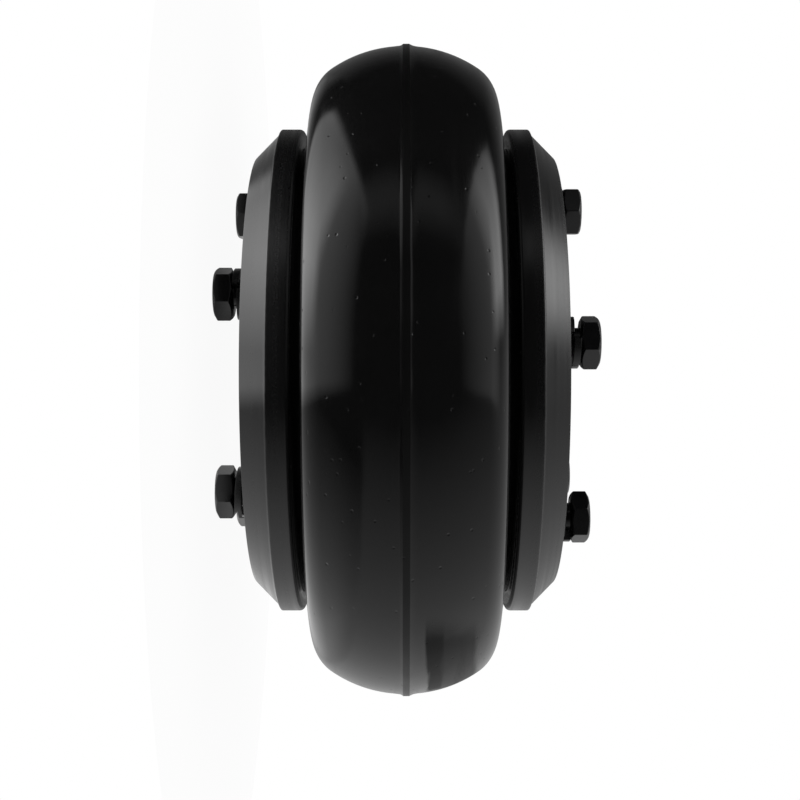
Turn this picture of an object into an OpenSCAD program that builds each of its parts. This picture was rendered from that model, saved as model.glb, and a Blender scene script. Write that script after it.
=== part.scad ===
// Tyre coupling: a split rubber tyre clamped between two flanges that sit on taper bushes.
// Sizes are in millimetres. The shaft axis is Z, and the origin is the middle of the tyre.

/* [Tyre] */
// Diameter over the crown, without the moulding seam
tyre_od = 189.6; // [182:0.2:210]
// Width over the two side walls
tyre_w = 52.6; // [46:0.2:64]
// Radius of the rounded shoulders
shoulder_r = 12; // [8:0.1:14]
// Rise of the crown over the tops of the shoulders
crown_rise = 4.3; // [2:0.1:8]
// Rubber thickness at the side walls
side_wall = 10; // [7:0.5:12]
// Rubber thickness under the crown
crown_wall = 11; // [8:0.5:14]
// Radius of the corners inside the tyre
cavity_r = 6; // [3:0.5:8]
// How far each side wall leans in at its neck
neck_lean = 1.7; // [0.5:0.1:3]
// Thickness of the clamped bead
bead_t = 12.4; // [11:0.1:15]
// Chamfer on the corners of the bead
bead_edge = 0.8; // [0.4:0.1:1.2]
// Width of the moulding seam at its foot
seam_w = 3.2; // [2.6:0.1:4]
// Width of the moulding seam at its top
seam_top_w = 2.2; // [1.6:0.1:2.4]
// Height of the moulding seam
seam_h = 0.6; // [0.3:0.1:1]
// Width of the radial split
split_w = 0.8; // [0.4:0.1:2]
// Angle of the radial split
split_turn = 68; // [0:1:359]

/* [Flanges] */
// Diameter of the flange rims
flange_od = 142; // [130:0.5:156]
// Thickness from the inner to the outer face
flange_t = 13.6; // [11:0.1:18]
// Gap between a flange's inner face and the tyre's side wall
side_gap = 3.1; // [1.5:0.1:6]
// Rounding of the rim's inner edge
lip_r = 2; // [1:0.1:2.5]
// Radial drop of the small step at the end of the rim
step_w = 1.7; // [1:0.1:2.4]
// Axial length of that step
step_h = 0.9; // [0.5:0.1:1.4]
// Length of the 45 degree cone up to the outer face
cone_h = 6.4; // [5:0.1:7]
// Width of the rim outside the bead seat
rim_w = 5.5; // [4.5:0.1:6.5]
// Depth of the bead seat
seat_depth = 1; // [0.6:0.1:1.6]
// Play between a bead and the metal around it
bead_play = 0.3; // [0.1:0.05:0.6]
// Wall of a hub around the large end of its bush
hub_wall = 5; // [4.5:0.1:7]
// Gap between the two hub ends
hub_gap = 23; // [16:0.5:28]
// Chamfer and corner fill of the hubs
hub_edge = 1.2; // [0.6:0.1:1.8]
// Angle of the upper flange's first screw
upper_turn = 45; // [0:1:359]
// Angle of the lower flange's first screw
lower_turn = 28; // [0:1:359]

/* [Clamp rings] */
// How far a ring's rim lies inside the rim of the bead seat
ring_inset = 1.5; // [0.8:0.1:3]
// Thickness of the pressing plates
ring_t = 7.5; // [5:0.5:9]
// Play between a ring and the hub inside it
ring_play = 1; // [0.5:0.1:2]
// Gap between a clamped ring and its flange
clamp_gap = 2.4; // [1.5:0.1:6]
// Chamfer on the edges of the rings
ring_edge = 0.8; // [0.4:0.1:1.2]

/* [Clamp screws] */
// Screws in each flange
screw_count = 5; // [4:1:6]
// Diameter of the screw shanks
screw_d = 8; // [6:0.5:9]
// Length of the shanks under the heads
screw_len = 35; // [30:0.5:40]
// Width of the heads across their flats
head_af = 13; // [12.5:0.5:15]
// Height of the heads
head_h = 5.3; // [4.5:0.1:6]
// Diameter of the round flat on a head's outer end
head_flat_d = 11.6; // [10:0.1:11.8]
// Diameter of the round flat on a head's seat
seat_flat_d = 11.9; // [11:0.1:12]
// Slope of the chamfers on a head
head_slope = 30; // [20:1:40]
// Angle from a screw's outer side to a corner of its head
head_turn = 24; // [0:1:59]
// Chamfer on the shank tips
tip_edge = 0.9; // [0.5:0.1:1.4]
// Play of the shanks in the flange holes
hole_play = 0.5; // [0.2:0.05:0.8]
// Play of the threads in the ring holes
thread_play = 0.02; // [0.01:0.01:0.1]
// Metal between a ring hole and the edges of the ring's boss
boss_wall = 2; // [1.5:0.1:3]

/* [Spring washers] */
// Outside diameter
washer_od = 14; // [13:0.1:16]
// Play of a washer around its shank
washer_play = 0.3; // [0.1:0.05:0.5]
// Thickness of the bent strip
washer_t = 2; // [1.6:0.1:2.4]
// Height of a washer between its flange and its screw head
washer_h = 3.9; // [3:0.1:5]
// Angle of the opening between the two ends
washer_open = 14; // [8:1:24]
// Angle from a screw's outer side to its washer's opening
washer_turn = 352; // [0:1:359]

/* [Taper bushes] */
// Diameter of the large end
bush_d = 70; // [64:0.5:76]
// Slope of the bush's side
bush_slope = 4; // [2:0.25:6]
// How far the small end lies inside the outer face
bush_sink = 0.5; // [0.2:0.1:1.5]
// Diameter of the shaft bore
bore_d = 42; // [30:1:46]
// Chamfer at the ends of the shaft bore
bore_edge = 1; // [0.5:0.1:1.5]
// Width of the keyway
key_w = 12; // [10:1:14]
// Depth of the keyway
key_h = 3.3; // [2.8:0.1:3.8]
// Width of the slit that lets the bush close on the shaft
slit_w = 2.5; // [1.5:0.1:4]
// Diameter of the bush screws
grub_d = 11.1; // [9:0.1:12]
// Length of the bush screws
grub_len = 22; // [18:0.5:24]
// How far a bush screw's axis lies inside the large end's edge
grub_inset = 1.7; // [1:0.1:2.4]
// How far the bush screws lie inside the hub's end
grub_sink = 0.6; // [0.2:0.1:2]
// Play of the bush screws in their half holes
grub_play = 0.05; // [0.02:0.01:0.15]
// Width of the hexagon socket in a bush screw
socket_af = 5.5; // [4:0.5:6]
// Depth of that socket
socket_h = 6; // [4:0.5:8]

/* [Hidden] */
// Faces on round shapes
$fn = 96;
// Overshoot of a cutting shape past the solid it cuts
over = 1;

// Heights above the middle of the tyre
plate_z = tyre_w / 2 + side_gap;
seat_z = plate_z + seat_depth;
face_z = plate_z + flange_t;
grip_z = seat_z - bead_t;
ring_z = grip_z - ring_t;
boss_z = plate_z - clamp_gap;
hub_z = hub_gap / 2;
land_z = face_z - cone_h - step_h;
head_z = face_z + washer_h;
bush_top_z = face_z - bush_sink;
grub_z = hub_z + grub_sink;

// Radii from the shaft axis
crown_r = tyre_od / 2;
crown_h = crown_rise + shoulder_r;
shoulder_c = crown_r - crown_h;
flange_r = flange_od / 2;
seat_r = flange_r - rim_w;
face_r = flange_r - step_w - cone_h;
bush_r = bush_d / 2;
grub_r = bush_r - grub_inset;
hub_r = bush_r + hub_wall;
ring_in_r = hub_r + ring_play;
screw_r = ring_in_r + boss_wall + screw_d / 2;
boss_r = screw_r + screw_d / 2 + boss_wall;
ring_r = seat_r - ring_inset;
bead_in_r = boss_r + bead_play;
bead_out_r = seat_r - bead_play;
neck_r = (seat_r + flange_r) / 2;
bore_r = bore_d / 2;

// The crown arc runs into the shoulder arcs without a corner
half_w = tyre_w / 2;
shoulder_z = half_w - shoulder_r;
arc_r = (shoulder_z ^ 2 + crown_h ^ 2 - shoulder_r ^ 2) / (2 * (crown_h - shoulder_r));
arc_c = crown_r - arc_r;
arc_half_angle = atan2(shoulder_z, shoulder_c - arc_c);
arc_reach = 2 * crown_h;

// Inward run of the seam's flanks for each millimetre of height
seam_flank = (seam_w - seam_top_w) / (2 * seam_h);

// Inside of the tyre
neck_z = half_w - neck_lean;
cavity_out_r = crown_r - crown_wall;
cavity_w = half_w - side_wall;

// Where a half hole for a bush screw lies, by its angle: two hold screws, the third is for drawing off
grub_turns = [0, 180];
draw_off_turn = 90;
slit_turn = 270;

// An outline above the middle plane, from the shaft outwards, joined to its mirror image
function both_sides(points) =
  concat([for (p = points) [p[0], -p[1]]], [for (i = [len(points) - 1 : -1 : 0]) points[i]]);

// Radius of the taper between bush and hub at a height
function taper_r(z) = bush_r - (z - hub_z) * tan(bush_slope);

// Points around one left-hand turn of a strip of rectangular section
function strip_points(steps, r_in, r_out, t, climb, open) =
  [for (i = [0 : steps], corner = [[r_in, 0], [r_out, 0], [r_out, t], [r_in, t]])
     let (turn = open / 2 + (360 - open) * i / steps)
     [corner[0] * cos(turn), corner[0] * sin(turn), corner[1] + climb * (1 - i / steps)]];

// Faces of that strip: four sides for each step, and the two ends
function strip_faces(steps) =
  concat([[0, 1, 2, 3]],
         [for (i = [0 : steps - 1], side = [0 : 3])
            let (a = 4 * i + side, b = 4 * i + (side + 1) % 4)
            [a, a + 4, b + 4, b]],
         [[4 * steps + 3, 4 * steps + 2, 4 * steps + 1, 4 * steps]]);

// Sets a half of the coupling in its place above or below the middle plane
module upper_side() {
  rotate([0, 0, upper_turn])
    children();
}

module lower_side() {
  rotate([180, 0, lower_turn])
    children();
}

// Repeats a shape on the screw circle
module at_screws() {
  for (i = [0 : screw_count - 1])
    rotate([0, 0, 360 * i / screw_count])
      translate([screw_r, 0, 0])
        children();
}

// Repeats a shape at each of the given half holes
module at_grubs(turns) {
  for (turn = turns)
    rotate([0, 0, turn])
      translate([grub_r, 0, 0])
        children();
}

// The tyre's section before its inside is cut out
module tyre_outline() {
  intersection() {
    translate([arc_c, 0])
      circle(r = arc_r);
    polygon(both_sides([[shoulder_c - over, shoulder_z],
                        [shoulder_c, shoulder_z],
                        [shoulder_c + arc_reach * cos(arc_half_angle),
                         shoulder_z + arc_reach * sin(arc_half_angle)]]));
  }
  for (side = [-1, 1])
    translate([shoulder_c, side * shoulder_z])
      circle(r = shoulder_r);
  polygon(both_sides([[bead_in_r, seat_z - bead_edge],
                      [bead_in_r + bead_edge, seat_z],
                      [bead_out_r - bead_edge, seat_z],
                      [bead_out_r, seat_z - bead_edge],
                      [bead_out_r, plate_z - bead_edge],
                      [neck_r, neck_z],
                      [shoulder_c, half_w]]));
  polygon(both_sides([[crown_r - over, seam_w / 2 + over * seam_flank],
                      [crown_r + seam_h, seam_top_w / 2]]));
}

// The hollow inside the tyre, open towards the shafts
module tyre_cavity() {
  corner_r = cavity_out_r - cavity_r;
  corner_z = cavity_w - cavity_r;
  for (side = [-1, 1])
    translate([corner_r, side * corner_z])
      circle(r = cavity_r);
  polygon(both_sides([[bead_in_r - over, grip_z],
                      [ring_r + bead_play, grip_z],
                      [neck_r, neck_z - side_wall],
                      [corner_r, cavity_w],
                      [corner_r, corner_z],
                      [cavity_out_r, corner_z]]));
}

module tyre() {
  color([0.05, 0.05, 0.05])
    difference() {
      rotate_extrude()
        difference() {
          tyre_outline();
          tyre_cavity();
        }
      rotate([0, 0, split_turn])
        translate([0, -split_w / 2, -face_z])
          cube([tyre_od, split_w, 2 * face_z]);
    }
}

// One flange with its hub, pointing up from the middle of the coupling
module flange() {
  lip_c = flange_r - lip_r;
  color([0.16, 0.16, 0.17])
    difference() {
      rotate_extrude() {
        polygon([[0, hub_z],
                 [hub_r - hub_edge, hub_z],
                 [hub_r, hub_z + hub_edge],
                 [hub_r, plate_z - hub_edge],
                 [hub_r + hub_edge, plate_z],
                 [boss_r, plate_z],
                 [boss_r, seat_z],
                 [seat_r, seat_z],
                 [seat_r, plate_z],
                 [lip_c, plate_z],
                 [lip_c, plate_z + lip_r],
                 [flange_r, plate_z + lip_r],
                 [flange_r, land_z],
                 [flange_r - step_w, land_z + step_h],
                 [face_r, face_z],
                 [0, face_z]]);
        translate([lip_c, plate_z + lip_r])
          circle(r = lip_r);
      }
      translate([0, 0, hub_z - over])
        cylinder(r1 = taper_r(hub_z - over), r2 = taper_r(face_z + over), h = face_z - hub_z + 2 * over);
      at_screws()
        translate([0, 0, plate_z - over])
          cylinder(d = screw_d + 2 * hole_play, h = flange_t + 2 * over);
      at_grubs(concat(grub_turns, draw_off_turn))
        translate([0, 0, hub_z - over])
          cylinder(d = grub_d + 2 * grub_play, h = over + grub_sink + grub_len + over);
    }
}

module lower_flange() {
  lower_side()
    flange();
}

module upper_flange() {
  upper_side()
    flange();
}

// One clamp ring: a pressing plate with a boss for the tapped holes
module clamp_ring() {
  color([0.2, 0.2, 0.21])
    difference() {
      rotate_extrude()
        polygon([[ring_in_r, ring_z],
                 [ring_r - ring_edge, ring_z],
                 [ring_r, ring_z + ring_edge],
                 [ring_r, grip_z - ring_edge],
                 [ring_r - ring_edge, grip_z],
                 [boss_r, grip_z],
                 [boss_r, boss_z - ring_edge],
                 [boss_r - ring_edge, boss_z],
                 [ring_in_r, boss_z]]);
      at_screws()
        translate([0, 0, ring_z - over])
          cylinder(d = screw_d + 2 * thread_play, h = boss_z - ring_z + 2 * over);
    }
}

module lower_clamp_ring() {
  lower_side()
    clamp_ring();
}

module upper_clamp_ring() {
  upper_side()
    clamp_ring();
}

// One hexagon screw, its head's seat at height 0 and its shank pointing down
module clamp_screw() {
  corner_r = head_af / 2 / cos(30);
  seat_chamfer_h = (corner_r - seat_flat_d / 2) * tan(head_slope);
  head_chamfer_h = (corner_r - head_flat_d / 2) * tan(head_slope);
  intersection() {
    rotate([0, 0, head_turn])
      cylinder(r = corner_r, h = head_h, $fn = 6);
    rotate_extrude()
      polygon([[0, 0],
               [seat_flat_d / 2, 0],
               [corner_r, seat_chamfer_h],
               [corner_r, head_h - head_chamfer_h],
               [head_flat_d / 2, head_h],
               [0, head_h]]);
  }
  rotate_extrude()
    polygon([[0, over],
             [screw_d / 2, over],
             [screw_d / 2, tip_edge - screw_len],
             [screw_d / 2 - tip_edge, -screw_len],
             [0, -screw_len]]);
}

module clamp_screws() {
  color([0.08, 0.08, 0.09])
    at_screws()
      translate([0, 0, head_z])
        clamp_screw();
}

module lower_clamp_screws() {
  lower_side()
    clamp_screws();
}

module upper_clamp_screws() {
  upper_side()
    clamp_screws();
}

// One washer: a strip bent round its screw, rising from the flange to the screw head
module spring_washer() {
  steps = 30;
  polyhedron(strip_points(steps, screw_d / 2 + washer_play, washer_od / 2, washer_t,
                          washer_h - washer_t, washer_open),
             strip_faces(steps));
}

module spring_washers() {
  color([0.1, 0.1, 0.1])
    at_screws()
      translate([0, 0, face_z])
        rotate([0, 0, washer_turn])
          spring_washer();
}

module lower_spring_washers() {
  lower_side()
    spring_washers();
}

module upper_spring_washers() {
  upper_side()
    spring_washers();
}

// One bush, its large end at the hub's inner end and its small end near the outer face
module taper_bush() {
  bush_len = bush_top_z - hub_z;
  color([0.22, 0.22, 0.23])
    difference() {
      translate([0, 0, hub_z])
        cylinder(r1 = bush_r, r2 = taper_r(bush_top_z), h = bush_len);
      rotate_extrude()
        polygon([[0, hub_z - over],
                 [bore_r + bore_edge + over, hub_z - over],
                 [bore_r, hub_z + bore_edge],
                 [bore_r, bush_top_z - bore_edge],
                 [bore_r + bore_edge + over, bush_top_z + over],
                 [0, bush_top_z + over]]);
      rotate([0, 0, draw_off_turn])
        translate([0, -key_w / 2, hub_z - over])
          cube([bore_r + key_h, key_w, bush_len + 2 * over]);
      rotate([0, 0, slit_turn])
        translate([0, -slit_w / 2, hub_z - over])
          cube([bush_r + over, slit_w, bush_len + 2 * over]);
      at_grubs(concat(grub_turns, draw_off_turn))
        translate([0, 0, hub_z - over])
          cylinder(d = grub_d + 2 * grub_play, h = over + grub_sink + grub_len);
    }
}

module lower_taper_bush() {
  lower_side()
    taper_bush();
}

module upper_taper_bush() {
  upper_side()
    taper_bush();
}

// The grub screws of one bush, standing on the floors of its half holes
module bush_screws() {
  color([0.12, 0.12, 0.13])
    at_grubs(grub_turns)
      translate([0, 0, grub_z])
        difference() {
          rotate_extrude()
            polygon([[0, 0],
                     [grub_d / 2 - tip_edge, 0],
                     [grub_d / 2, tip_edge],
                     [grub_d / 2, grub_len - tip_edge],
                     [grub_d / 2 - tip_edge, grub_len],
                     [0, grub_len]]);
          translate([0, 0, -over])
            cylinder(d = socket_af / cos(30), h = over + socket_h, $fn = 6);
        }
}

module lower_bush_screws() {
  lower_side()
    bush_screws();
}

module upper_bush_screws() {
  upper_side()
    bush_screws();
}

tyre();
lower_flange();
upper_flange();
lower_clamp_ring();
upper_clamp_ring();
lower_clamp_screws();
upper_clamp_screws();
lower_spring_washers();
upper_spring_washers();
lower_taper_bush();
upper_taper_bush();
lower_bush_screws();
upper_bush_screws();
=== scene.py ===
"""Tyre coupling: a split rubber tyre between two turned flanges, standing on its lower screw heads."""
import math

import bmesh
import bpy
from mathutils import Matrix, Vector, noise

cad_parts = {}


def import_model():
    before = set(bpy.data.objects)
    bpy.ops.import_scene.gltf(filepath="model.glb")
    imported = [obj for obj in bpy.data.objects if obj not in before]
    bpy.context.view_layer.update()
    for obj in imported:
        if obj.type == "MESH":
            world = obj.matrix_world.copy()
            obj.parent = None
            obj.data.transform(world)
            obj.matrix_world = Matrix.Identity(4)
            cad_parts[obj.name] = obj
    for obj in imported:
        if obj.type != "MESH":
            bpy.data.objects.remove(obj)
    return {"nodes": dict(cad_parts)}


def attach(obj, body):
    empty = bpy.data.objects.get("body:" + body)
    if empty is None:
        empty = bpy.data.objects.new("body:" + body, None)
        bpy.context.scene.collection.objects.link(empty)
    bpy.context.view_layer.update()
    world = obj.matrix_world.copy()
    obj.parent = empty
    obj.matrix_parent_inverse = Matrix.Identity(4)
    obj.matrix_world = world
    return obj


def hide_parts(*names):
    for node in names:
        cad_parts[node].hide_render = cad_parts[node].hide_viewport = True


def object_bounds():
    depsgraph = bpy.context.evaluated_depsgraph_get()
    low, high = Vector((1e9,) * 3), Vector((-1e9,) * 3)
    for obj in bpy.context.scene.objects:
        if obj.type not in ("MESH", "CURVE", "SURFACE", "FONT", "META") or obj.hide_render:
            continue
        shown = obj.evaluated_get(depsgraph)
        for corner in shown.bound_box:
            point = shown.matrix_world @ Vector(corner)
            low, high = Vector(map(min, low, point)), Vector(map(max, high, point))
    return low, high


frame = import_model()
cad_low, cad_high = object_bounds()

# Lengths of the part are in millimetres, as in its source, and turned into metres when a mesh is made
MM = 0.001
BODY = "root"

# Tyre
CROWN_R = 94.8
CROWN_RISE = 4.3
HALF_W = 26.3
SHOULDER_R = 12
NECK_R = 68.25
NECK_Z = 24.6
NECK_BEND_R = 1.6
BEAD_IN_R = 53.3
BEAD_OUT_R = 65.2
BEAD_TOP_Z = 30.4
BEAD_EDGE_R = 0.8
BEAD_LIP_R = 1.2
BEAD_LIP_DROP = 0.4
BEAD_GRIP_Z = 18
GRIP_OUT_R = 64.3
GRIP_EDGE_R = 0.5
CAVITY_R = 83.8
CAVITY_W = 16.3
CAVITY_CORNER_R = 6
NECK_CAVITY_Z = 14.6
NECK_CAVITY_BEND_R = 2
SPLIT_TURN = math.radians(68)
SPLIT_W = 0.8

# Seam of the tyre: a flat top, steep flash on one side and a hollow run-out on both
SEAM_TOP_W = 1.7
SEAM_H = 0.6
SEAM_SHIFT = 0.35
SEAM_FLARE_W = 2.8
FLASH_W = 0.42
FLASH_SHARE = 0.67

# Unevenness of the moulding: waves of the skin and, outside a radius, of the seam's height and side
OUTER_SKIN_R = CAVITY_R + 1
SKIN_WAVE_SCALE = 0.05
SKIN_WAVE_H = 0.05
SEAM_WAVE_SCALE = 9
SEAM_WAVE_H = 0.08
SEAM_SIDE_SCALE = 14.4
SEAM_SIDE_W = 0.12
SEAM_SIDE_START = Vector((5, 0, 0))

# Dull patch low on the tyre's front, in metres: its width and its dark core along Z, its height along X
STAIN_WIDTH = (0.0072, 0.0240)
STAIN_CORE_END = 0.0115
STAIN_HEIGHT = (0.062, 0.0938)
STAIN_EDGE = 0.0012
STAIN_WANDER = 0.004
STAIN_OUTER_SHARE = 0.8
SEAM_DULLNESS = 0.6

# Flanges
FLANGE_R = 71
PLATE_Z = 29.4
SEAT_Z = 30.4
LAND_Z = 35.7
STEP_W = 1.2
STEP_H = 0.4
FACE_R = 62.9
FACE_Z = 43
LIP_R = 1.2
SEAT_R = 65.5
BOSS_R = 53
HUB_R = 40
HUB_Z = 11.5
HUB_EDGE = 1.2
INNER_EDGE_R = 0.2
EDGE_R = 0.3
EDGE_SUPPORT = 0.35
# Outer edges rounded tighter than this get the lighter edge colour: partly worn metal, partly a painted glint
WEAR_AND_GLINT_R = 1
SCREW_CIRCLE_R = 47
SCREW_HOLE_R = 4.5
SCREW_COUNT = 5
UPPER_TURN = math.radians(45)
LOWER_TURN = math.radians(28)
SIDES = {"upper": Matrix.Rotation(UPPER_TURN, 4, "Z"),
         "lower": Matrix.Rotation(LOWER_TURN, 4, "Z") @ Matrix.Rotation(math.pi, 4, "X")}

# Taper bushes
BUSH_R = 35
BUSH_SLOPE = math.radians(4)
BUSH_TOP_Z = 42.5
BUSH_EDGE_R = 0.3
BORE_R = 21
BORE_EDGE = 1
KEY_W = 12
KEY_DEPTH = 3.3
KEY_TURN = 90
SLIT_W = 2.5
SLIT_IN_R = 16
SLIT_TURN = 270
HALF_HOLE_R = 5.6
HALF_HOLE_CIRCLE_R = 33.3
HALF_HOLE_END_Z = 34.1
HALF_HOLE_TURNS = (0, 90, 180)
CUT_PAST = 1

# Clamp screws
SHANK_R = 4
SHANK_LEN = 35
SHANK_FILLET = 0.25
HEAD_IN_R = 6.5
HEAD_H = 5.3
HEAD_FLAT_R = 5.8
HEAD_FLAT_INSET = 1.5
HEAD_FLAT_SOFT = 0.15
HEAD_SEAT_R = 5.95
HEAD_SLOPE = math.radians(30)
HEAD_TURN = math.radians(24)
HEAD_CORNER_R = 0.3
HEAD_SOFT = 0.14
# Rings of the head's top chamfer that get the lighter edge colour: a painted glint on worn metal
HEAD_WEAR_AND_GLINT_RINGS = slice(2, 4)
THREAD_PITCH = 1.25
THREAD_DEPTH = 0.68
THREAD_FLANK = 2.3
THREAD_START = 9
TIP_EDGE = 0.9

# Spring washers
WASHER_IN_R = 4.3
WASHER_OUT_R = 7
WASHER_T = 2
WASHER_H = 3.9
WASHER_OPEN = math.radians(14)
WASHER_TURN = math.radians(352)
WASHER_EDGE_R = 0.22

# Screws that are drawn down further than the rest: share of the washer's spring that is closed
DRAWN_DOWN = {("lower", 2): 0.28, ("lower", 3): 0.8, ("upper", 2): 0.45}
# Screws whose heads stand turned from the rest, in degrees
HEAD_TURNED = {("lower", 1): 5, ("lower", 2): -7.5, ("upper", 4): 10}

# Fineness of the meshes: shares for points on flat spans, steps of round shapes, angles of sharp edges
SEAM_POINTS = (0.3, 0.7, 0.9)
CAVITY_POINTS = (0.66, 0.33)
CROWN_STEPS = 64
SHOULDER_STEPS = 18
CAVITY_STEPS = 8
TYRE_STEPS = 288
FLANGE_STEPS = 240
BUSH_STEPS = 192
HOLE_STEPS = 48
WASHER_STEPS = 60
THREAD_ROWS = 6
TURNED_SHARP = math.radians(40)
SCREW_SHARP = math.radians(50)

# How far noise is drawn out along the turn of the part, for streaks and for the marks of the turning tool
STREAK_SCALES = (0.08, 0.08, 1)
TOOL_TURN_SCALE = 0.0003

# Directions in the picture, as the camera sees them
RIGHT = Vector((0, 0, 1))
UP = Vector((-1, 0, 0))
NEAR = Vector((0, -1, 0))


# Outlines

def arc(centre, radius, start, end, steps):
    """Points on an arc, both ends included."""
    turns = [start + (end - start) * i / steps for i in range(steps + 1)]
    return [(centre[0] + radius * math.cos(t), centre[1] + radius * math.sin(t)) for t in turns]


def rounded(corners, steps=4, support=0.6):
    """A closed outline of (x, y, wear_and_glint) from corners (x, y, radius); the edge value is 1 on sharp
    outer edges, which get a lighter colour that is partly worn metal and partly a painted glint.

    A long side gets a support point beside each bend, so that the lighter edge colour and the shading stay
    near the edge.
    """
    outline = []
    count = len(corners)
    for i, (x, y, radius) in enumerate(corners):
        here = Vector((x, y))
        before = Vector(corners[i - 1][:2]) - here
        after = Vector(corners[(i + 1) % count][:2]) - here
        if radius == 0:
            outline.append((x, y, 0))
            continue
        half = before.angle(after) / 2
        reach = radius / math.tan(half)
        long_side = 3 * (reach + support)
        outer = before.x * after.y - before.y * after.x < 0
        centre = here + (before.normalized() + after.normalized()).normalized() * radius / math.sin(half)
        first = here + before.normalized() * reach - centre
        turn = (math.pi - 2 * half) * (1 if outer else -1)
        if before.length > long_side:
            outline.append((*(here + before.normalized() * (reach + support)), 0))
        for k in range(steps + 1):
            point = centre + Matrix.Rotation(turn * k / steps, 2) @ first
            outline.append((*point, 1 if outer and radius < WEAR_AND_GLINT_R else 0))
        if after.length > long_side:
            outline.append((*(here + after.normalized() * (reach + support)), 0))
    return outline


def mirrored(half):
    """A closed outline from its upper half, listed from the middle plane round to the middle plane."""
    return half + [(r, -z) for r, z in reversed(half)]


# Meshes

def new_object(name, bm, sharp_angle):
    """An object from a bmesh in millimetres, smooth shaded apart from edges over the given angle."""
    bmesh.ops.recalc_face_normals(bm, faces=bm.faces)
    bmesh.ops.scale(bm, verts=bm.verts, vec=(MM, MM, MM))
    mesh = bpy.data.meshes.new(name)
    bm.to_mesh(mesh)
    bm.free()
    mesh.shade_smooth()
    mesh.set_sharp_from_angle(angle=sharp_angle)
    piece = bpy.data.objects.new(name, mesh)
    bpy.context.scene.collection.objects.link(piece)
    return piece


def sweep(bm, rings, closed_sweep=False):
    """Joins closed rings of vertices with quads, and caps the ends of an open sweep."""
    count = len(rings[0])
    last = len(rings) if closed_sweep else len(rings) - 1
    for i in range(last):
        a = rings[i]
        b = rings[(i + 1) % len(rings)]
        for k in range(count):
            n = (k + 1) % count
            bm.faces.new((a[k], a[n], b[n], b[k]))
    if not closed_sweep:
        bm.faces.new(rings[0])
        bm.faces.new(reversed(rings[-1]))


def lathe(outline, steps, start=0, total=2 * math.pi):
    """A bmesh of an outline turned about Z, from (r, z) or (r, z, wear_and_glint); an open turn has capped
    ends.
    """
    bm = bmesh.new()
    wear_and_glint = bm.verts.layers.float.new("wear_and_glint")
    full = math.isclose(total, 2 * math.pi)
    rings = []
    for i in range(steps if full else steps + 1):
        t = start + total * i / steps
        ring = []
        for point in outline:
            vert = bm.verts.new((point[0] * math.cos(t), point[0] * math.sin(t), point[1]))
            vert[wear_and_glint] = point[2] if len(point) > 2 else 0
            ring.append(vert)
        rings.append(ring)
    sweep(bm, rings, full)
    return bm


def add_cylinder(bm, radius, low, high, place):
    """Adds a closed cylinder along Z to a bmesh."""
    bmesh.ops.create_cone(bm, cap_ends=True, segments=HOLE_STEPS, radius1=radius, radius2=radius,
                          depth=high - low, matrix=place @ Matrix.Translation((0, 0, (low + high) / 2)))


def add_block(bm, low, high, place):
    """Adds a box between two corners to a bmesh."""
    low, high = Vector(low), Vector(high)
    size = Matrix.Diagonal((*(high - low), 1))
    bmesh.ops.create_cube(bm, size=1, matrix=place @ Matrix.Translation((low + high) / 2) @ size)


def carved(piece, cutters):
    """Cuts a bmesh of closed shapes, in millimetres, out of a piece."""
    tool = new_object("tool", cutters, math.pi)
    cut = piece.modifiers.new("cut", "BOOLEAN")
    cut.object = tool
    cut.solver = "EXACT"
    made = bpy.data.meshes.new_from_object(piece.evaluated_get(bpy.context.evaluated_depsgraph_get()))
    piece.modifiers.clear()
    old = piece.data
    piece.data = made
    made.name = old.name
    bpy.data.meshes.remove(old)
    bpy.data.objects.remove(tool)
    made.set_sharp_from_angle(angle=TURNED_SHARP)


def even_normals(piece):
    """Keeps flat faces flat where they run into rounded edges."""
    piece.modifiers.new("even_normals", "WEIGHTED_NORMAL").keep_sharp = True


def turned(degrees, radius=0):
    """A place on a circle about Z."""
    return Matrix.Rotation(math.radians(degrees), 4, "Z") @ Matrix.Translation((radius, 0, 0))


def screw_place(place, i):
    """The place of one screw on a flange."""
    return place @ turned(360 / SCREW_COUNT * i, SCREW_CIRCLE_R)


def dress(piece, node, material):
    """Lets a piece stand for a CAD node, in the given material."""
    piece.data.materials.clear()
    piece.data.materials.append(material)
    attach(piece, BODY)
    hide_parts(node)


# Materials

def connect(tree, value, socket):
    """Links an output to an input, or sets the input's own value."""
    if isinstance(value, bpy.types.NodeSocket):
        tree.links.new(value, socket)
    else:
        socket.default_value = value


def combine(tree, operation, a, b=0.0):
    """The result of one math node on two values."""
    node = tree.nodes.new("ShaderNodeMath")
    node.operation = operation
    connect(tree, a, node.inputs[0])
    connect(tree, b, node.inputs[1])
    return node.outputs[0]


def grey(level):
    """An even grey."""
    return (level, level, level)


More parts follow.
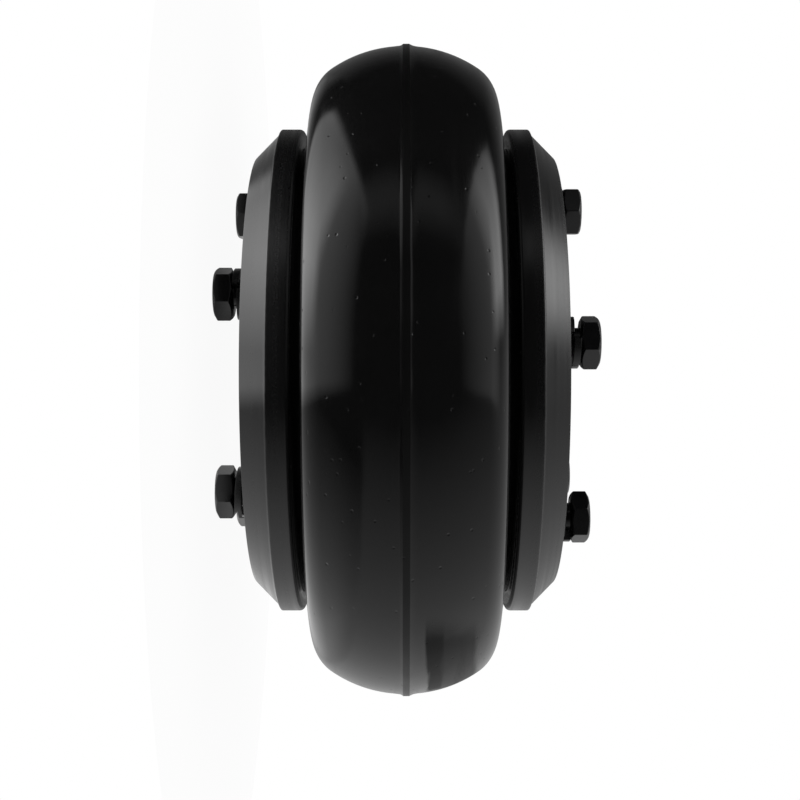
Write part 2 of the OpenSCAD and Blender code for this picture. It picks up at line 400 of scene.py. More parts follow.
class Nodes:
    """A material with its surface shader, and short ways to add nodes to it."""

    def __init__(self, name):
        self.material = bpy.data.materials.new(name)
        self.material.use_nodes = True
        self.tree = self.material.node_tree
        self.shader = self.tree.nodes["Principled BSDF"]
        self.place = self.tree.nodes.new("ShaderNodeTexCoord").outputs["Object"]

    def link(self, value, socket):
        """Links an output to an input, or sets the input's own value."""
        connect(self.tree, value, socket)

    def math(self, operation, a, b=0.0):
        """The result of one math node on two values."""
        return combine(self.tree, operation, a, b)

    def vector(self, operation, other=None):
        """A vector math node on the place in the part's frame, and a second vector where it takes one."""
        node = self.tree.nodes.new("ShaderNodeVectorMath")
        node.operation = operation
        if other is not None:
            node.inputs[1].default_value = other
        self.link(self.place, node.inputs[0])
        return node.outputs

    def along(self, axis):
        """How far a point lies along an axis."""
        return self.vector("DOT_PRODUCT", axis)["Value"]

    def parts(self):
        """The place in the part's frame as x, y and z."""
        node = self.tree.nodes.new("ShaderNodeSeparateXYZ")
        self.link(self.place, node.inputs[0])
        return node.outputs

    def noise(self, scale, detail=4, roughness=0.5, place=None):
        """Noise in the part's frame; scale is in features per metre."""
        node = self.tree.nodes.new("ShaderNodeTexNoise")
        node.inputs["Scale"].default_value = scale
        node.inputs["Detail"].default_value = detail
        node.inputs["Roughness"].default_value = roughness
        self.link(place or self.place, node.inputs["Vector"])
        return node.outputs["Fac"]

    def streaks(self, scale, detail=4, roughness=0.5):
        """Noise drawn out along the turn of the part."""
        return self.noise(scale, detail, roughness, self.vector("MULTIPLY", STREAK_SCALES)["Vector"])

    def ramp(self, value, span, levels, smooth=True):
        """Maps a value from a span to two levels, held at its ends."""
        node = self.tree.nodes.new("ShaderNodeMapRange")
        node.interpolation_type = "SMOOTHSTEP" if smooth else "LINEAR"
        for key, number in zip(("From Min", "From Max", "To Min", "To Max"), (*span, *levels)):
            node.inputs[key].default_value = number
        self.link(value, node.inputs["Value"])
        return node.outputs["Result"]

    def blend(self, factor, a, b):
        """Mixes two colours."""
        node = self.tree.nodes.new("ShaderNodeMix")
        node.data_type = "RGBA"
        self.link(factor, node.inputs[0])
        self.link((*a, 1) if isinstance(a, tuple) else a, node.inputs[6])
        self.link((*b, 1) if isinstance(b, tuple) else b, node.inputs[7])
        return node.outputs[2]

    def bump(self, height, distance, strength, below=None, sunk=False):
        """Surface relief; distance is the height of a full step, in metres, which goes inwards if sunk."""
        node = self.tree.nodes.new("ShaderNodeBump")
        node.invert = sunk
        node.inputs["Strength"].default_value = strength
        node.inputs["Distance"].default_value = distance
        self.link(height, node.inputs["Height"])
        if below is not None:
            self.link(below, node.inputs["Normal"])
        return node.outputs["Normal"]

    def pits(self, scale, share, size):
        """Sparse round pits: 1 inside a pit, 0 outside; share is the part of the cells that have one."""
        cells = self.tree.nodes.new("ShaderNodeTexVoronoi")
        cells.inputs["Scale"].default_value = scale
        self.link(self.place, cells.inputs["Vector"])
        colour = self.tree.nodes.new("ShaderNodeSeparateColor")
        self.link(cells.outputs["Color"], colour.inputs["Color"])
        chosen = self.math("LESS_THAN", colour.outputs["Red"], share)
        return self.math("MULTIPLY", chosen, self.ramp(cells.outputs["Distance"], (size * 0.4, size), (1, 0)))

    def lathe_place(self):
        """Coordinates that follow a turning tool: distance from the shaft axis, a little turn, height."""
        x, y, z = self.parts()
        radius = self.math("SQRT", self.math("ADD", self.math("MULTIPLY", x, x), self.math("MULTIPLY", y, y)))
        turn = self.math("MULTIPLY", self.math("ARCTAN2", y, x), TOOL_TURN_SCALE)
        joined = self.tree.nodes.new("ShaderNodeCombineXYZ")
        for value, socket in zip((radius, turn, z), joined.inputs):
            self.link(value, socket)
        return joined.outputs[0]

    def wear_and_glint(self):
        """How far an edge is worn and glints, from the mesh: its lighter colour is partly worn metal and
        partly a painted glint.
        """
        node = self.tree.nodes.new("ShaderNodeAttribute")
        node.attribute_name = "wear_and_glint"
        return node.outputs["Fac"]

    def set(self, **values):
        """Sets or links inputs of the surface shader; underscores stand for spaces."""
        for key, value in values.items():
            self.link(value, self.shader.inputs[key.replace("_", " ")])


def stain(n):
    """The dull patch low on the tyre's front, drawn out in streaks: 1 in its core, 0 outside."""
    x, y, z = n.parts()
    across = n.math("ADD", z, n.math("MULTIPLY", n.streaks(scale=330, detail=3), STAIN_WANDER))
    down = n.math("ADD", x, n.math("MULTIPLY", n.noise(scale=120), STAIN_WANDER))
    left, right = STAIN_WIDTH
    top, bottom = STAIN_HEIGHT
    whole = n.ramp(across, (left, left + STAIN_EDGE), (0, 1))
    for share in (n.ramp(across, (STAIN_CORE_END, STAIN_CORE_END + STAIN_EDGE), (1, STAIN_OUTER_SHARE)),
                  n.ramp(across, (right - 3 * STAIN_EDGE, right), (1, 0)),
                  n.ramp(down, (top, top + 10 * STAIN_EDGE), (0, 1)),
                  n.ramp(down, (bottom - 2 * STAIN_EDGE, bottom), (1, 0)),
                  n.ramp(y, (-STAIN_EDGE, STAIN_EDGE), (1, 0))):
        whole = n.math("MULTIPLY", whole, share)
    return whole


def seam_land(n):
    """The seam's trimmed top, which is duller than the moulded skin: 1 on it, 0 beside it."""
    across = n.math("SUBTRACT", n.parts()["Z"], SEAM_SHIFT * MM)
    edge = SEAM_TOP_W / 2 * MM
    return n.ramp(n.math("ABSOLUTE", across), (edge, edge * 1.2), (1, 0))


def rubber():
    """Black moulded rubber: glossy, with faint handling marks, small pits and a fine skin."""
    n = Nodes("moulded_rubber")
    cloud = n.noise(scale=45, detail=6, roughness=0.6)
    smudge = n.ramp(n.streaks(scale=150, detail=5, roughness=0.65), (0.5, 0.7), (0, 1))
    dull = n.math("MAXIMUM", stain(n), n.math("MULTIPLY", seam_land(n), SEAM_DULLNESS))
    shine = n.math("ADD", n.ramp(cloud, (0.3, 0.7), (0.10, 0.15)), n.math("MULTIPLY", smudge, 0.08))
    pits = n.pits(scale=330, share=0.35, size=0.16)
    specks = n.pits(scale=900, share=0.05, size=0.08)
    skin = n.blend(cloud, grey(0.003), (0.0055, 0.0055, 0.0056))
    n.set(Base_Color=n.blend(specks, skin, grey(0.02)),
          Roughness=n.math("ADD", shine, n.math("MULTIPLY", dull, 0.3)),
          IOR=1.6,
          Specular_IOR_Level=n.ramp(dull, (0, 1), (0.5, 0.08)))
    grain = n.bump(n.noise(scale=1500, detail=3), distance=0.00001, strength=0.25)
    swell = n.bump(n.noise(scale=70, detail=2), distance=0.0002, strength=0.25, below=grain)
    n.set(Normal=n.bump(pits, distance=0.0001, strength=0.9, below=swell, sunk=True))
    return n.material


def turned_steel(name, colour, worn_and_glint_colour, roughness):
    """Phosphated steel with the fine rings of the turning tool, and lighter edges that are partly worn metal
    and partly a painted glint.
    """
    n = Nodes(name)
    tool = n.lathe_place()
    rings = n.noise(scale=2600, detail=3, place=tool)
    bands = n.noise(scale=420, detail=2, place=tool)
    grain = n.noise(scale=900, roughness=0.7)
    cloud = n.noise(scale=60, detail=5, roughness=0.6)
    patches = n.ramp(n.noise(scale=260, detail=5, roughness=0.7), (0.38, 0.62), (0.15, 1))
    # Lighter colour on marked edges: partly worn metal, partly a painted glint
    rubbed_and_glinting = n.math("MULTIPLY", n.wear_and_glint(), patches)
    dark = tuple(0.6 * c for c in colour)
    n.set(Base_Color=n.blend(rubbed_and_glinting, n.blend(cloud, dark, colour), worn_and_glint_colour),
          Roughness=n.math("ADD", n.ramp(bands, (0.3, 0.7), (roughness - 0.04, roughness + 0.05)),
                           n.math("MULTIPLY", grain, 0.06)),
          IOR=1.82,
          Anisotropic=0.35)
    tangent = n.tree.nodes.new("ShaderNodeTangent")
    tangent.direction_type = "RADIAL"
    tangent.axis = "Z"
    n.set(Tangent=tangent.outputs[0])
    pitted = n.bump(grain, distance=0.000015, strength=0.6)
    n.set(Normal=n.bump(rings, distance=0.000015, strength=0.8, below=pitted))
    return n.material


def black_oxide(name, colour, worn_and_glint_colour, roughness):
    """Oiled black oxide on steel: dark, smooth and uneven, with lighter edges that are partly worn metal and
    partly a painted glint.
    """
    n = Nodes(name)
    cloud = n.noise(scale=300, detail=5, roughness=0.6)
    grain = n.noise(scale=1800, detail=3)
    # Lighter colour on marked edges: partly worn metal, partly a painted glint
    rubbed_and_glinting = n.math("MULTIPLY", n.wear_and_glint(), n.ramp(n.noise(scale=500), (0.4, 0.6), (0.1, 1)))
    dark = tuple(0.5 * c for c in colour)
    n.set(Base_Color=n.blend(rubbed_and_glinting, n.blend(cloud, dark, colour), worn_and_glint_colour),
          Roughness=n.ramp(cloud, (0.3, 0.7), (roughness - 0.05, roughness + 0.07)),
          IOR=1.6,
          Normal=n.bump(grain, distance=0.00002, strength=0.3))
    return n.material


tyre_rubber = rubber()
flange_steel = turned_steel("turned_flange_steel", colour=(0.005, 0.005, 0.0052), worn_and_glint_colour=grey(0.02),
                            roughness=0.2)
ring_steel = turned_steel("turned_ring_steel", colour=(0.02, 0.02, 0.021), worn_and_glint_colour=grey(0.08),
                          roughness=0.3)
bush_iron = turned_steel("turned_bush_iron", colour=grey(0.03), worn_and_glint_colour=grey(0.1), roughness=0.32)
screw_steel = black_oxide("black_oxide_screw", colour=(0.005, 0.005, 0.0055), worn_and_glint_colour=grey(0.06),
                          roughness=0.17)
washer_steel = black_oxide("black_oxide_washer", colour=grey(0.012), worn_and_glint_colour=grey(0.06), roughness=0.28)


# Tyre

def flare(z):
    """Share of the seam's height at a place across it."""
    out = max(0, abs(z) - SEAM_TOP_W / 2)
    hollow = max(0, 1 - out / SEAM_FLARE_W) ** 2
    if z > 0:
        return hollow
    return FLASH_SHARE * max(0, 1 - out / FLASH_W) + (1 - FLASH_SHARE) * hollow


def tyre_outline():
    """The tyre's section, listed from the seam's top round the shoulder and bead to the cavity."""
    shoulder_c = CROWN_R - CROWN_RISE - SHOULDER_R
    shoulder_z = HALF_W - SHOULDER_R
    crown_h = CROWN_RISE + SHOULDER_R
    arc_r = (shoulder_z ** 2 + crown_h ** 2 - SHOULDER_R ** 2) / (2 * (crown_h - SHOULDER_R))
    arc_c = CROWN_R - arc_r
    tangent = math.atan2(shoulder_z, shoulder_c - arc_c)
    corner_r = CAVITY_R - CAVITY_CORNER_R
    corner_z = CAVITY_W - CAVITY_CORNER_R
    bead = rounded([(shoulder_c, HALF_W, 0),
                    (NECK_R, NECK_Z, NECK_BEND_R),
                    (BEAD_OUT_R, PLATE_Z - BEAD_LIP_DROP, BEAD_LIP_R),
                    (BEAD_OUT_R, BEAD_TOP_Z, BEAD_EDGE_R),
                    (BEAD_IN_R, BEAD_TOP_Z, BEAD_EDGE_R),
                    (BEAD_IN_R, BEAD_GRIP_Z, GRIP_EDGE_R),
                    (GRIP_OUT_R, BEAD_GRIP_Z, GRIP_EDGE_R),
                    (NECK_R, NECK_CAVITY_Z, NECK_CAVITY_BEND_R),
                    (corner_r, CAVITY_W, 0)])
    half = [(CROWN_R, SEAM_TOP_W / 2 * k) for k in SEAM_POINTS]
    half += arc((arc_c, 0), arc_r, math.asin(SEAM_TOP_W / 2 / arc_r), tangent, CROWN_STEPS)
    half += arc((shoulder_c, shoulder_z), SHOULDER_R, tangent, math.pi / 2, SHOULDER_STEPS)[1:]
    half += [(r, z) for r, z, _ in bead[1:-1]]
    half += arc((corner_r, corner_z), CAVITY_CORNER_R, math.pi / 2, 0, CAVITY_STEPS)
    half += [(CAVITY_R, corner_z * k) for k in CAVITY_POINTS]
    return mirrored(half)


def uneven_moulding(bm):
    """Raises the seam with a wandering edge, and gives the crown the slight waves of moulded rubber."""
    for vert in bm.verts:
        x, y, z = vert.co
        radius = math.hypot(x, y)
        if radius < NECK_R:
            continue
        turn = Vector((x / radius, y / radius, 0))
        wave = noise.noise(vert.co * SKIN_WAVE_SCALE) * SKIN_WAVE_H
        if radius > OUTER_SKIN_R:
            share = flare(z)
            side = noise.noise(turn * SEAM_SIDE_SCALE + SEAM_SIDE_START)
            wave += share * (SEAM_H + SEAM_WAVE_H * noise.noise(turn * SEAM_WAVE_SCALE))
            vert.co.z += share * (SEAM_SHIFT + SEAM_SIDE_W * side)
        vert.co += turn * wave


tyre_gap = SPLIT_W / CROWN_R
tyre_mesh = lathe(tyre_outline(), TYRE_STEPS, SPLIT_TURN + tyre_gap / 2, 2 * math.pi - tyre_gap)
uneven_moulding(tyre_mesh)
tyre = new_object("moulded_tyre", tyre_mesh, TURNED_SHARP)
dress(tyre, "tyre", tyre_rubber)


# Flanges and bushes

def taper_r(z):
    """Radius of the taper between bush and hub at a height."""
    return BUSH_R - (z - HUB_Z) * math.tan(BUSH_SLOPE)


def flange(side, place):
    """One flange with its screw holes and its half holes for the bush screws."""
    corners = [(taper_r(HUB_Z), HUB_Z, INNER_EDGE_R),
               (HUB_R, HUB_Z, HUB_EDGE),
               (HUB_R, PLATE_Z, HUB_EDGE),
               (BOSS_R, PLATE_Z, INNER_EDGE_R),
               (BOSS_R, SEAT_Z, INNER_EDGE_R),
               (SEAT_R, SEAT_Z, INNER_EDGE_R),
               (SEAT_R, PLATE_Z, INNER_EDGE_R),
               (FLANGE_R, PLATE_Z, LIP_R),
               (FLANGE_R, LAND_Z, EDGE_R),
               (FLANGE_R - STEP_W, LAND_Z + STEP_H, EDGE_R),
               (FACE_R, FACE_Z, EDGE_R),
               (taper_r(FACE_Z), FACE_Z, INNER_EDGE_R)]
    bm = lathe(rounded(corners, support=EDGE_SUPPORT), FLANGE_STEPS)
    bmesh.ops.transform(bm, matrix=place, verts=bm.verts)
    piece = new_object(side + "_turned_flange", bm, TURNED_SHARP)
    holes = bmesh.new()
    for i in range(SCREW_COUNT):
        add_cylinder(holes, SCREW_HOLE_R, PLATE_Z - CUT_PAST, FACE_Z + CUT_PAST, screw_place(place, i))
    for turn in HALF_HOLE_TURNS:
        add_cylinder(holes, HALF_HOLE_R, HUB_Z - CUT_PAST, HALF_HOLE_END_Z + CUT_PAST,
                     place @ turned(turn, HALF_HOLE_CIRCLE_R))
    carved(piece, holes)
    even_normals(piece)
    dress(piece, side + "_flange", flange_steel)
    return piece


def bush(side, place):
    """One taper bush with its keyway, its slit and its half holes for the bush screws."""
    corners = [(BORE_R, HUB_Z, BORE_EDGE),
               (BUSH_R, HUB_Z, BUSH_EDGE_R),
               (taper_r(BUSH_TOP_Z), BUSH_TOP_Z, BUSH_EDGE_R),
               (BORE_R, BUSH_TOP_Z, BORE_EDGE)]
    bm = lathe(rounded(corners), BUSH_STEPS)
    bmesh.ops.transform(bm, matrix=place, verts=bm.verts)
    piece = new_object(side + "_split_bush", bm, TURNED_SHARP)
    low = HUB_Z - CUT_PAST
    high = BUSH_TOP_Z + CUT_PAST
    cuts = bmesh.new()
    add_block(cuts, (0, -KEY_W / 2, low), (BORE_R + KEY_DEPTH, KEY_W / 2, high), place @ turned(KEY_TURN))
    add_block(cuts, (SLIT_IN_R, -SLIT_W / 2, low), (BUSH_R + CUT_PAST, SLIT_W / 2, high),
              place @ turned(SLIT_TURN))
    for turn in HALF_HOLE_TURNS:
        add_cylinder(cuts, HALF_HOLE_R, low, HALF_HOLE_END_Z, place @ turned(turn, HALF_HOLE_CIRCLE_R))
    carved(piece, cuts)
    even_normals(piece)
    dress(piece, side + "_taper_bush", bush_iron)


# Clamp screws

def hexagon_outline(in_r, corner_r, flat_steps=6, corner_steps=4):
    """Points round a hexagon with rounded corners, as (x, y)."""
    sixth = math.pi / 3
    corner_c = (in_r - corner_r) / math.cos(sixth / 2)
    bends = []
    for side in range(6):
        middle = sixth * side
        centre = (corner_c * math.cos(middle), corner_c * math.sin(middle))
        bends.append(arc(centre, corner_r, middle - sixth / 2, middle + sixth / 2, corner_steps))
    points = []
    for bend, following in zip(bends, bends[1:] + bends[:1]):
        start, end = Vector(bend[-1]), Vector(following[0])
        points += bend
        points += [tuple(start.lerp(end, k / flat_steps)) for k in range(1, flat_steps)]
    return points


def screw_rings():
    """The rings of one screw from the middle of its head's top down to its tip, as lists of points."""
    outline = hexagon_outline(HEAD_IN_R, HEAD_CORNER_R)
    slope = math.tan(HEAD_SLOPE)
    rings = []

    def round_ring(radius, height):
        """Adds a round ring."""
        rings.append([(*(Vector(p).normalized() * radius), height) for p in outline])

    def side_ring(lift, upper):
        """Adds a ring on the hexagon's sides, near the edge of the upper or lower chamfer."""
        ring = []
        for p in outline:
            out = Vector(p).length
            drop = (out - (HEAD_FLAT_R if upper else HEAD_SEAT_R)) * slope
            inset = max(lift, 0) / slope
            height = HEAD_H - drop + lift if upper else drop - lift
            ring.append((*(Vector(p).normalized() * (out - inset)), height))
        rings.append(ring)

    round_ring(HEAD_FLAT_R - HEAD_FLAT_INSET, HEAD_H)
    round_ring(HEAD_FLAT_R - HEAD_FLAT_SOFT, HEAD_H)
    round_ring(HEAD_FLAT_R + HEAD_FLAT_SOFT, HEAD_H - HEAD_FLAT_SOFT * slope)
    side_ring(HEAD_SOFT / 2, True)
    side_ring(-HEAD_SOFT, True)
    side_ring(-HEAD_SOFT, False)
    side_ring(HEAD_SOFT / 2, False)
    round_ring(HEAD_SEAT_R, 0)
    round_ring(SHANK_R + SHANK_FILLET, 0)
    round_ring(SHANK_R, -SHANK_FILLET)
    round_ring(SHANK_R, -THREAD_START)
    rows = int((SHANK_LEN - THREAD_START) / THREAD_PITCH * THREAD_ROWS)
    for i in range(rows + 1):
        depth_z = THREAD_START + (SHANK_LEN - THREAD_START) * i / rows
        run_in = min(1, (depth_z - THREAD_START) / THREAD_PITCH)
        tip_r = SHANK_R - max(0, depth_z - (SHANK_LEN - TIP_EDGE))
        ring = []
        for x, y in outline:
            turn = math.atan2(y, x)
            phase = (depth_z / THREAD_PITCH + turn / (2 * math.pi)) % 1
            groove = THREAD_DEPTH * run_in * max(0, 1 - abs(phase - 0.5) * THREAD_FLANK)
            radius = min(SHANK_R - groove, tip_r)
            ring.append((radius * math.cos(turn), radius * math.sin(turn), -depth_z))
        rings.append(ring)
    return rings


def washer_climb(side, i):
    """How far the ends of a spring washer stand apart."""
    return (WASHER_H - WASHER_T) * (1 - DRAWN_DOWN.get((side, i), 0))


def screws(side, place):
    """The five screws of one flange in one mesh of separate solids."""
    rings = screw_rings()
    bm = bmesh.new()
    wear_and_glint = bm.verts.layers.float.new("wear_and_glint")
    for i in range(SCREW_COUNT):
        head_z = FACE_Z + WASHER_T + washer_climb(side, i)
        turn = HEAD_TURN + math.radians(HEAD_TURNED.get((side, i), 0))
        spin = Matrix.Translation((0, 0, head_z)) @ Matrix.Rotation(turn, 4, "Z")
        local = screw_place(place, i) @ spin
        made = [[bm.verts.new(local @ Vector(p)) for p in ring] for ring in rings]
        # The head's chamfer rings are marked for the lighter edge colour, a painted glint on worn metal
        for ring in made[HEAD_WEAR_AND_GLINT_RINGS]:
            for vert in ring:
                vert[wear_and_glint] = 1
        sweep(bm, made)
    piece = new_object(side + "_hex_screws", bm, SCREW_SHARP)
    even_normals(piece)
    dress(piece, side + "_clamp_screws", screw_steel)


# Spring washers

def washers(side, place):
    """The five split washers of one flange, each a left-hand turn of strip with rounded edges."""
    corners = ((WASHER_IN_R, 0), (WASHER_OUT_R, 0), (WASHER_OUT_R, WASHER_T), (WASHER_IN_R, WASHER_T))
    section = rounded([(r, z, WASHER_EDGE_R) for r, z in corners], steps=3)
    bm = bmesh.new()
    for i in range(SCREW_COUNT):
        seat = Matrix.Translation((0, 0, FACE_Z)) @ Matrix.Rotation(WASHER_TURN, 4, "Z")
        local = screw_place(place, i) @ seat
        rings = []
        for k in range(WASHER_STEPS + 1):
            t = WASHER_OPEN / 2 + (2 * math.pi - WASHER_OPEN) * k / WASHER_STEPS
            lift = washer_climb(side, i) * (1 - k / WASHER_STEPS)
            rings.append([bm.verts.new(local @ Vector((r * math.cos(t), r * math.sin(t), z + lift)))
                          for r, z, _ in section])
        sweep(bm, rings)
    piece = new_object(side + "_split_washers", bm, SCREW_SHARP)
    even_normals(piece)
    dress(piece, side + "_spring_washers", washer_steel)


flanges = []
for side, place in SIDES.items():
    flanges.append(flange(side, place))
    bush(side, place)
    screws(side, place)
    washers(side, place)

# Inner pieces keep their CAD meshes
for name, material in (("clamp_ring", ring_steel), ("bush_screws", screw_steel)):
    for side in SIDES:
        node = frame["nodes"][f"{side}_{name}"]
        node.data.materials.clear()
        node.data.materials.append(material)


# Studio, with its lengths in metres
STUDIO_R = 0.8
ROOM_STEPS = (48, 24)
MAT_STEPS = 96
FLOOR_STEPS = 160
CEILING_HEIGHT = 0.5
FLOOR_Z = cad_low.z
FLOOR_R = 0.16
FLOOR_COLOUR = 0.9
FLOOR_ROUGHNESS = 0.9
FLOOR_WHITE_SHARE = 0.94
FILL_LEVEL = 0.65
MAT_LIFT = 0.1 * MM
PANEL_LIFT = 0.2 * MM
LAMP_STEP = 0.4 * MM
STRIP_SIDE = (0.82 * UP + 0.57 * NEAR).normalized()
STRIP_DISTANCE = 0.6

# Glow of the room and mat, which only reflections see and which paint the reflected light and shade:
# direction in which it grows, the span over which it does, and its levels
ROOM_AXIS = (-0.80 * UP - 0.60 * NEAR).normalized()
ROOM_SPAN = (-0.33 * STUDIO_R, STUDIO_R)
ROOM_LEVELS = (0.01, 0.56)
ROOM_TOP_SPAN = (-0.02 * STUDIO_R, 0.25 * STUDIO_R)
ROOM_TOP_SHARES = (1, 0.6)
MAT_AXIS = (-0.64 * UP - 0.77 * NEAR).normalized()
MAT_SPAN = (-0.070, 0.047)
MAT_LEVELS = (0.02, 0.95)
MAT_RIM_SPAN = (0.10, FLOOR_R)
MAT_RIM_SHARES = (1, 0.5)


def soft_edges(lamp, fades):
    """Fades a lamp's light towards its edges.

    The four fades are shares of its size: at the low and high end across it, then along it.
    """
    lamp.use_nodes = True
    tree = lamp.node_tree
    place = tree.nodes.new("ShaderNodeNewGeometry").outputs["Parametric"]
    parts = tree.nodes.new("ShaderNodeSeparateXYZ")
    tree.links.new(place, parts.inputs[0])
    level = 1.0
    for axis, ends in enumerate((fades[:2], fades[2:])):
        for end, fade in enumerate(ends):
            if fade == 0:
                continue
            edge = tree.nodes.new("ShaderNodeMapRange")
            edge.inputs["From Min"].default_value = end
            edge.inputs["From Max"].default_value = 1 - fade if end == 1 else fade
            tree.links.new(parts.outputs[axis], edge.inputs["Value"])
            level = combine(tree, "MULTIPLY", level, edge.outputs["Result"])
    connect(tree, level, tree.nodes["Emission"].inputs["Strength"])


def softbox(name, centre, facing, across, size, radiance, fades, lit=None):
    """An area lamp out of the camera's sight that stands in the facing direction and shines back along it."""
    lamp = bpy.data.lights.new(name, "AREA")
    lamp.shape = "RECTANGLE"
    lamp.size, lamp.size_y = size
    lamp.energy = math.pi * size[0] * size[1] * radiance
    soft_edges(lamp, fades)
    holder = bpy.data.objects.new(name, lamp)
    axes = Matrix((across, facing.cross(across), facing)).transposed().to_4x4()
    holder.matrix_world = Matrix.Translation(centre) @ axes
    holder.visible_camera = False
    if lit is not None:
        holder.light_linking.receiver_collection = lit
    bpy.context.scene.collection.objects.link(holder)


def level_softbox(name, height, up, near, radiance, fades, lit=None):
    """A softbox that lies level over or under the part, from its height and its two ranges."""
    centre = RIGHT * height + UP * sum(up) / 2 + NEAR * sum(near) / 2
    facing = RIGHT
    if height < 0:
        facing = -RIGHT
        fades = (*fades[:2], fades[3], fades[2])
    softbox(name, centre, facing, UP, (up[1] - up[0], near[1] - near[0]), radiance, fades, lit)


def lit_group(name, pieces):
    """The pieces that a lamp is held to by its flags."""
    group = bpy.data.collections.new(name)
    for piece in pieces:
        group.objects.link(piece)
    return group


def lamps():
    """Three softboxes over the part, two on the floor below it and a weak strip above the camera."""
    broad = lit_group("lit_from_the_floor", [tyre, *flanges])
    plates = lit_group("lit_from_behind", flanges)
    over = CEILING_HEIGHT
    under = FLOOR_Z + PANEL_LIFT
    level_softbox("key_above", over + LAMP_STEP, up=(0.05, 0.85), near=(-0.21, 0.23), radiance=1.9,
                  fades=(0.117, 0.81, 0.27, 0.33))
    level_softbox("back_above", over + 2 * LAMP_STEP, up=(0, 0.28), near=(-0.60, -0.15), radiance=0.9,
                  fades=(0.3, 0.4, 0.2, 0.3), lit=plates)
    level_softbox("fill_above", over, up=(-0.07, 1.0), near=(0, 0.60), radiance=0.6,
                  fades=(0, 0.3, 0.35, 0.85))
    level_softbox("key_below", under, up=(0.006, 0.108), near=(0.036, 0.094), radiance=1.5,
                  fades=(0.3, 0.55, 0.62, 0.2), lit=broad)
    level_softbox("fill_below", under + LAMP_STEP, up=(-0.0118, 0.125), near=(0.022, 0.140), radiance=0.71,
                  fades=(0.05, 0.08, 0.06, 0.43), lit=broad)
    softbox("front_strip", STRIP_DISTANCE * STRIP_SIDE, STRIP_SIDE, RIGHT, size=(1.2, 0.28), radiance=0.14,
            fades=(0.3, 0.3, 0.4, 0.4))


def glow_material(n, level):
    """Makes a material shine at a level, without sending light to the part."""
    glow = n.tree.nodes.new("ShaderNodeEmission")
    n.link(level, glow.inputs["Strength"])
    n.link(glow.outputs[0], n.tree.nodes["Material Output"].inputs["Surface"])
    n.material.cycles.emission_sampling = "NONE"
    return n.material


def room_glow():
    """The room's glow, which is dimmer above."""
    n = Nodes("room_glow")
    level = n.ramp(n.along(ROOM_AXIS), ROOM_SPAN, ROOM_LEVELS, smooth=False)
    return glow_material(n, n.math("MULTIPLY", level, n.ramp(n.along(UP), ROOM_TOP_SPAN, ROOM_TOP_SHARES)))


def mat_glow():
    """The mat's glow, which is dimmer at its rim."""
    n = Nodes("mat_glow")
    level = n.ramp(n.along(MAT_AXIS), MAT_SPAN, MAT_LEVELS, smooth=False)
    reach = n.vector("LENGTH")["Value"]
    return glow_material(n, n.math("MULTIPLY", level, n.ramp(reach, MAT_RIM_SPAN, MAT_RIM_SHARES)))


def reflection_card(name, bm, material):
    """A glowing card that paints a reflection: it is seen only in reflections, and takes no light from the
    part.
    """
    card = new_object(name, bm, math.pi)
    card.data.materials.append(material)
    card.visible_camera = False
    card.visible_diffuse = False
    card.visible_transmission = False
    card.visible_shadow = False


def disc(radius, height, steps):
    """A bmesh of a level disc round the shaft axis, from lengths in metres."""
    bm = bmesh.new()
    bmesh.ops.create_circle(bm, cap_ends=True, segments=steps, radius=radius / MM,
                            matrix=Matrix.Translation((0, 0, height / MM)))
    return bm


def flags():
    """A glowing room and mat seen only in reflections, painting the reflected light and shade that the part's
    black surfaces mirror.
    """
    # Painted reflections: the room and mat glow in gradients that only gloss rays see
    room = bmesh.new()
    bmesh.ops.create_uvsphere(room, u_segments=ROOM_STEPS[0], v_segments=ROOM_STEPS[1], radius=STUDIO_R / MM)
    reflection_card("reflection_room", room, room_glow())
    reflection_card("reflection_mat", disc(FLOOR_R, FLOOR_Z + MAT_LIFT, MAT_STEPS), mat_glow())


def seen_white(tree):
    """1 for rays that show the background: those of the camera, of gloss and of glass."""
    path = tree.nodes.new("ShaderNodeLightPath").outputs
    gloss_or_glass = combine(tree, "MAXIMUM", path["Is Glossy Ray"], path["Is Transmission Ray"])
    return combine(tree, "MAXIMUM", path["Is Camera Ray"], gloss_or_glass)


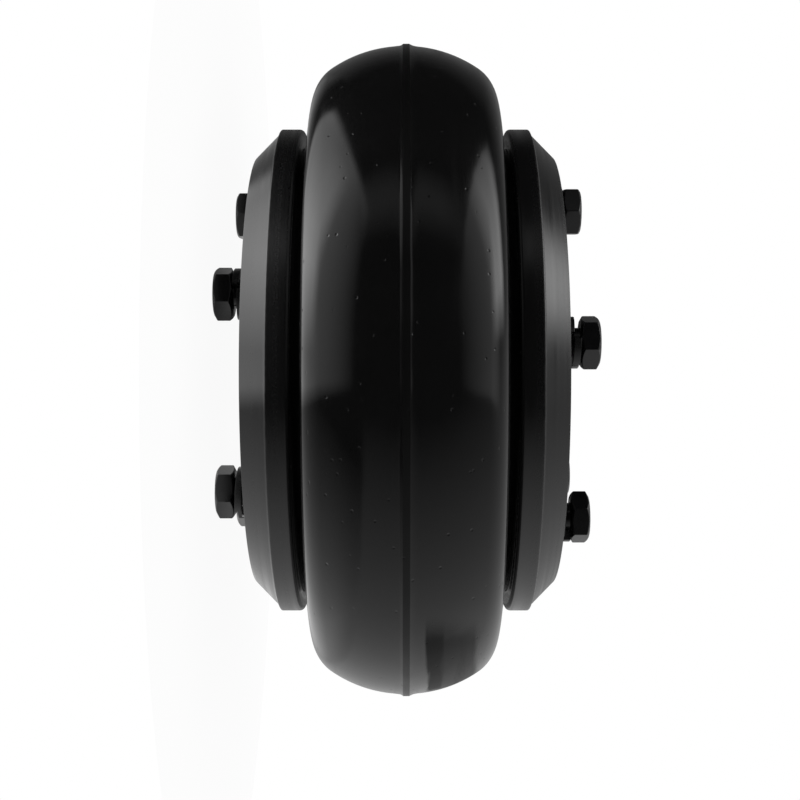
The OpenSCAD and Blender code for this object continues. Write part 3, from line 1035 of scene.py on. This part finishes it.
def floor():
    """A round pale sheet under the part, close to white, with the part's shadow on it."""
    sheet = new_object("floor", disc(FLOOR_R, FLOOR_Z, FLOOR_STEPS), math.pi)
    n = Nodes("floor_white")
    n.set(Base_Color=(*grey(FLOOR_COLOUR), 1), Roughness=FLOOR_ROUGHNESS)
    glow = n.tree.nodes.new("ShaderNodeEmission")
    mix = n.tree.nodes.new("ShaderNodeMixShader")
    n.link(n.math("MULTIPLY", seen_white(n.tree), FLOOR_WHITE_SHARE), mix.inputs[0])
    n.link(n.shader.outputs[0], mix.inputs[1])
    n.link(glow.outputs[0], mix.inputs[2])
    n.link(mix.outputs[0], n.tree.nodes["Material Output"].inputs["Surface"])
    sheet.data.materials.append(n.material)


def world():
    """White where it is seen, and an even fill light for the rest."""
    room = bpy.data.worlds.new("studio")
    room.use_nodes = True
    tree = room.node_tree
    background = tree.nodes["Background"]
    background.inputs["Color"].default_value = (1, 1, 1, 1)
    level = tree.nodes.new("ShaderNodeMix")
    level.inputs["A"].default_value = FILL_LEVEL
    level.inputs["B"].default_value = 1
    tree.links.new(seen_white(tree), level.inputs["Factor"])
    tree.links.new(level.outputs["Result"], background.inputs["Strength"])
    bpy.context.scene.world = room


# Camera: its lens in millimetres, its distance in metres, and the pixel where the shaft axis's middle lies
IMAGE_PX = 800
CENTRE_PX = Vector((405, 370))
LENS_MM = 70.2
SENSOR_MM = 36
CAMERA_DISTANCE = 0.466


def camera():
    """A level camera beside the part, turned so that the shaft axis lies across the picture."""
    lens = bpy.data.cameras.new("camera")
    lens.sensor_width = SENSOR_MM
    lens.lens = LENS_MM
    lens.shift_x = (IMAGE_PX / 2 - CENTRE_PX.x) / IMAGE_PX
    lens.shift_y = (CENTRE_PX.y - IMAGE_PX / 2) / IMAGE_PX
    holder = bpy.data.objects.new("camera", lens)
    holder.matrix_world = (Matrix.Translation(NEAR * CAMERA_DISTANCE)
                           @ Matrix((RIGHT, UP, NEAR)).transposed().to_4x4())
    bpy.context.scene.collection.objects.link(holder)
    bpy.context.scene.camera = holder


lamps()
flags()
floor()
world()
camera()
bpy.context.scene.view_settings.view_transform = "Standard"
